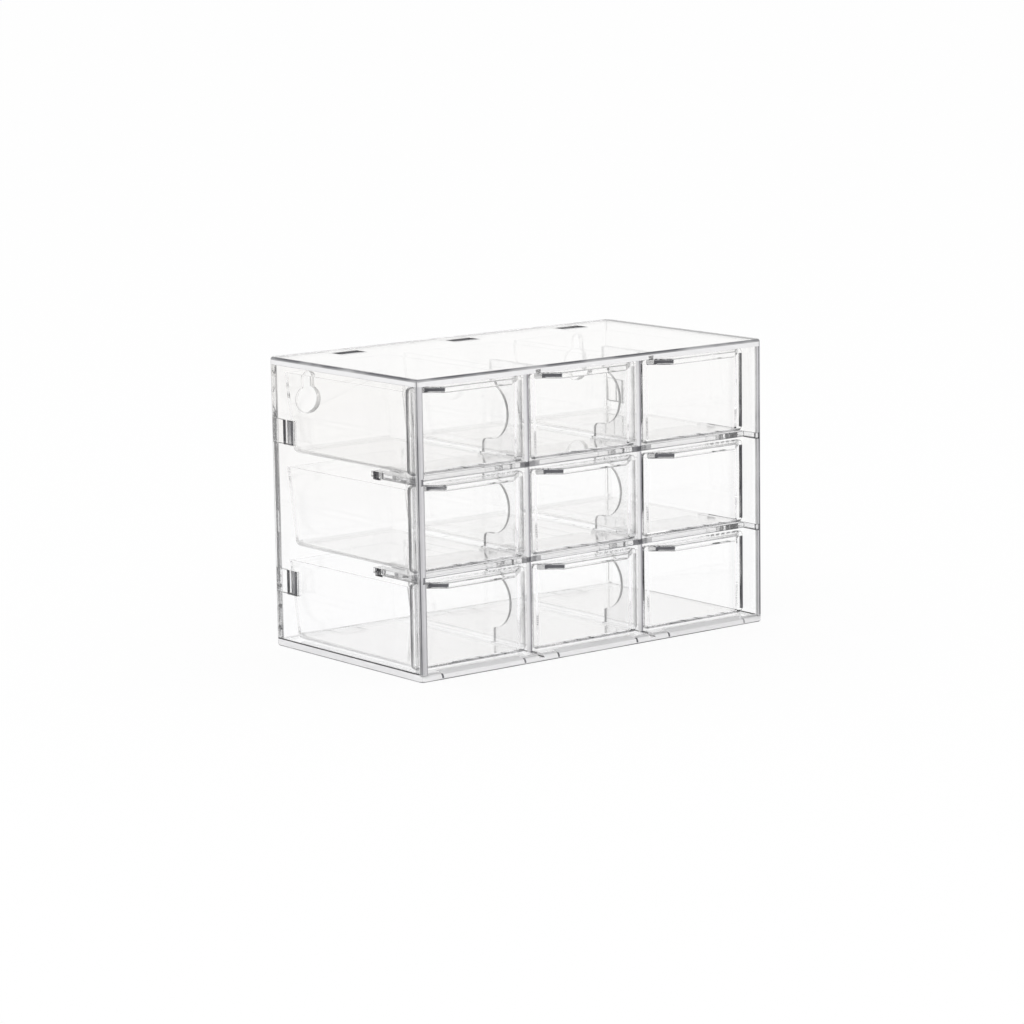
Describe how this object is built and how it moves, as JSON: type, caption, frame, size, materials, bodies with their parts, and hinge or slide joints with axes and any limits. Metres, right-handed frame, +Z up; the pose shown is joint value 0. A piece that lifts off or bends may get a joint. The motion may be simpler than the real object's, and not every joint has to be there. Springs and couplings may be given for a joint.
{
  "type": "drawer storage box",
  "caption": "Clear desktop box with a grid of small pull-out drawers behind an open recessed front, for jewellery and other small things.",
  "frame": {"origin": "centre of the footprint, on the underside of the bottom panel", "axes": "+Z up, the drawers open towards -Y, +X to the right seen from the front"},
  "size_m": [0.18, 0.1, 0.12],
  "materials": {
    "clear_plastic": "clear gloss, polystyrene"
  },
  "bodies": {
    "case": {"top_panel": "clear_plastic", "bottom_panel": "clear_plastic", "left_side_panel": "clear_plastic", "right_side_panel": "clear_plastic", "back_panel": "clear_plastic", "left_divider": "clear_plastic", "right_divider": "clear_plastic", "shelf_lower_left": "clear_plastic", "shelf_lower_middle": "clear_plastic", "shelf_lower_right": "clear_plastic", "shelf_upper_left": "clear_plastic", "shelf_upper_middle": "clear_plastic", "shelf_upper_right": "clear_plastic"},
    "drawer_bottom_left_body": {"drawer_bottom_left": "clear_plastic"},
    "drawer_bottom_middle_body": {"drawer_bottom_middle": "clear_plastic"},
    "drawer_bottom_right_body": {"drawer_bottom_right": "clear_plastic"},
    "drawer_middle_left_body": {"drawer_middle_left": "clear_plastic"},
    "drawer_middle_middle_body": {"drawer_middle_middle": "clear_plastic"},
    "drawer_middle_right_body": {"drawer_middle_right": "clear_plastic"},
    "drawer_top_left_body": {"drawer_top_left": "clear_plastic"},
    "drawer_top_middle_body": {"drawer_top_middle": "clear_plastic"},
    "drawer_top_right_body": {"drawer_top_right": "clear_plastic"}
  },
  "joints": [
    {"name": "drawer_bottom_left_slide", "type": "slide", "parent": "case", "child": "drawer_bottom_left_body", "axis": [0, -1, 0], "range_m": [0, 0.06]},
    {"name": "drawer_bottom_middle_slide", "type": "slide", "parent": "case", "child": "drawer_bottom_middle_body", "axis": [0, -1, 0], "range_m": [0, 0.06]},
    {"name": "drawer_bottom_right_slide", "type": "slide", "parent": "case", "child": "drawer_bottom_right_body", "axis": [0, -1, 0], "range_m": [0, 0.06]},
    {"name": "drawer_middle_left_slide", "type": "slide", "parent": "case", "child": "drawer_middle_left_body", "axis": [0, -1, 0], "range_m": [0, 0.06]},
    {"name": "drawer_middle_middle_slide", "type": "slide", "parent": "case", "child": "drawer_middle_middle_body", "axis": [0, -1, 0], "range_m": [0, 0.06]},
    {"name": "drawer_middle_right_slide", "type": "slide", "parent": "case", "child": "drawer_middle_right_body", "axis": [0, -1, 0], "range_m": [0, 0.06]},
    {"name": "drawer_top_left_slide", "type": "slide", "parent": "case", "child": "drawer_top_left_body", "axis": [0, -1, 0], "range_m": [0, 0.06]},
    {"name": "drawer_top_middle_slide", "type": "slide", "parent": "case", "child": "drawer_top_middle_body", "axis": [0, -1, 0], "range_m": [0, 0.06]},
    {"name": "drawer_top_right_slide", "type": "slide", "parent": "case", "child": "drawer_top_right_body", "axis": [0, -1, 0], "range_m": [0, 0.06]}
  ]
}
